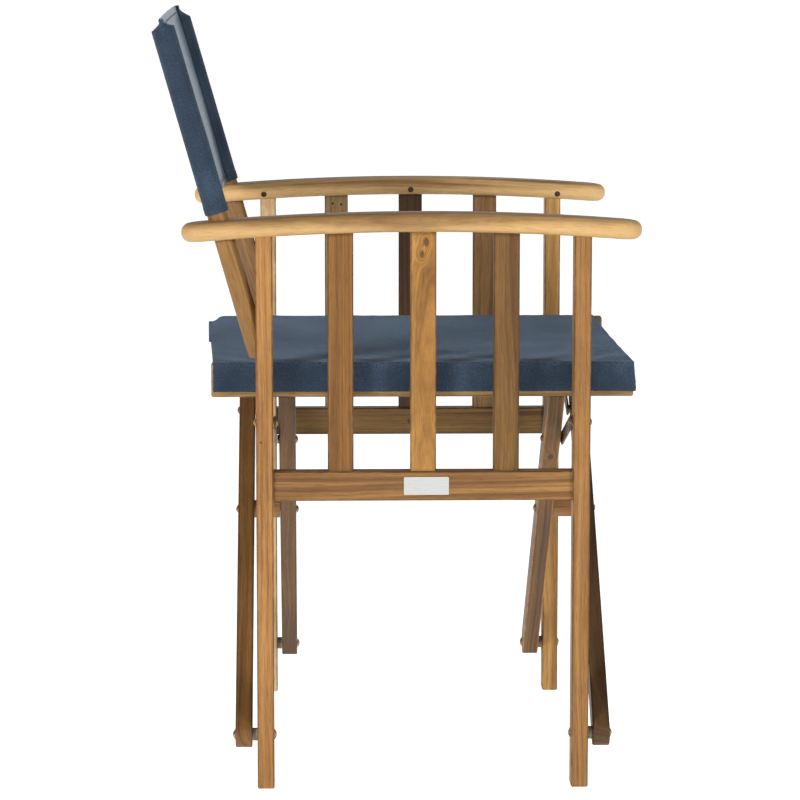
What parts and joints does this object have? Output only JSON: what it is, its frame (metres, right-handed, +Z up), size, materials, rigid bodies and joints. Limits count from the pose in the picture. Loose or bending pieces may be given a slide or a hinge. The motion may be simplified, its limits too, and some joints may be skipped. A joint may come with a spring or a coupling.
{
  "type": "folding director chair",
  "caption": "Folding wooden director chair with slatted sides, arched armrests, scissor cross legs, metal straps, and canvas seat and back slings.",
  "frame": {"origin": "on the floor, under the middle of the open chair's bounding box", "axes": "+Z up; the chair faces -Y; its own right-hand side is at -X"},
  "size_m": [0.54, 0.5343, 0.8573],
  "materials": {
    "armrest_wood": "satin oiled",
    "frame_wood": "satin oiled",
    "slat_wood": "satin oiled",
    "cross_leg_wood": "satin oiled",
    "post_wood": "satin oiled",
    "navy_canvas": "woven cotton canvas",
    "antique_brass": "aged",
    "strap_steel": "dull",
    "wood_screw_steel": "plain",
    "foot_spacer_nylon": "satin",
    "plate_aluminium": "brushed, blank"
  },
  "bodies": {
    "right_side": {"right_rear_leg": "frame_wood", "right_front_leg": "frame_wood", "right_lower_rail": "frame_wood", "right_rear_slat": "slat_wood", "right_middle_slat": "slat_wood", "right_front_slat": "slat_wood", "right_armrest": "armrest_wood", "right_back_post": "post_wood", "right_frame_plugs": "post_wood", "right_foot_bolts": "antique_brass", "right_foot_spacers": "foot_spacer_nylon", "right_strap_bolts": "antique_brass", "name_plate": "plate_aluminium", "back_sling": "navy_canvas"},
    "left_side": {"left_rear_leg": "frame_wood", "left_front_leg": "frame_wood", "left_lower_rail": "frame_wood", "left_rear_slat": "slat_wood", "left_middle_slat": "slat_wood", "left_front_slat": "slat_wood", "left_armrest": "armrest_wood", "left_back_post": "post_wood", "left_frame_plugs": "post_wood", "left_foot_bolts": "antique_brass", "left_foot_spacers": "foot_spacer_nylon", "left_strap_bolts": "antique_brass"},
    "right_straps": {"right_rear_strap": "strap_steel", "right_front_strap": "strap_steel", "right_strap_rivets": "antique_brass"},
    "left_straps": {"left_rear_strap": "strap_steel", "left_front_strap": "strap_steel", "left_strap_rivets": "antique_brass"},
    "outer_cross_frame": {"outer_rear_cross_leg": "cross_leg_wood", "outer_front_cross_leg": "cross_leg_wood", "left_seat_rail": "frame_wood", "left_rail_screws": "wood_screw_steel", "outer_strap_end_bolts": "antique_brass", "cross_bolts": "antique_brass", "cross_spacers": "cross_leg_wood"},
    "inner_cross_frame": {"inner_rear_cross_leg": "cross_leg_wood", "inner_front_cross_leg": "cross_leg_wood", "right_seat_rail": "frame_wood", "right_rail_screws": "wood_screw_steel", "inner_strap_end_bolts": "antique_brass", "seat_sling": "navy_canvas"}
  },
  "joints": [
    {"name": "fold", "type": "hinge", "parent": "outer_cross_frame", "child": "inner_cross_frame", "pos_m": [0, 0, 0.273], "axis": [0, 1, 0], "range_deg": [0, 77.14], "deforming": ["seat_sling", "back_sling"]},
    {"name": "right_foot_pivot", "type": "hinge", "parent": "right_side", "child": "outer_cross_frame", "pos_m": [-0.247, 0, 0.0595], "axis": [0, -1, 0], "range_deg": [0, 33.8]},
    {"name": "left_foot_pivot", "type": "hinge", "parent": "inner_cross_frame", "child": "left_side", "pos_m": [0.247, 0, 0.0595], "axis": [0, -1, 0], "range_deg": [0, 33.8]},
    {"name": "right_strap_pivot", "type": "hinge", "parent": "right_side", "child": "right_straps", "pos_m": [-0.247, 0, 0.412], "axis": [0, -1, 0], "range_deg": [0, 74.8]},
    {"name": "left_strap_pivot", "type": "hinge", "parent": "left_side", "child": "left_straps", "pos_m": [0.247, 0, 0.412], "axis": [0, 1, 0], "range_deg": [0, 74.8]}
  ],
  "couplings": [
    {"joint": "right_foot_pivot", "follows": "fold", "ratio": 0.43767},
    {"joint": "left_foot_pivot", "follows": "fold", "ratio": 0.43767},
    {"joint": "right_strap_pivot", "follows": "fold", "ratio": 0.96864},
    {"joint": "left_strap_pivot", "follows": "fold", "ratio": 0.96864}
  ]
}
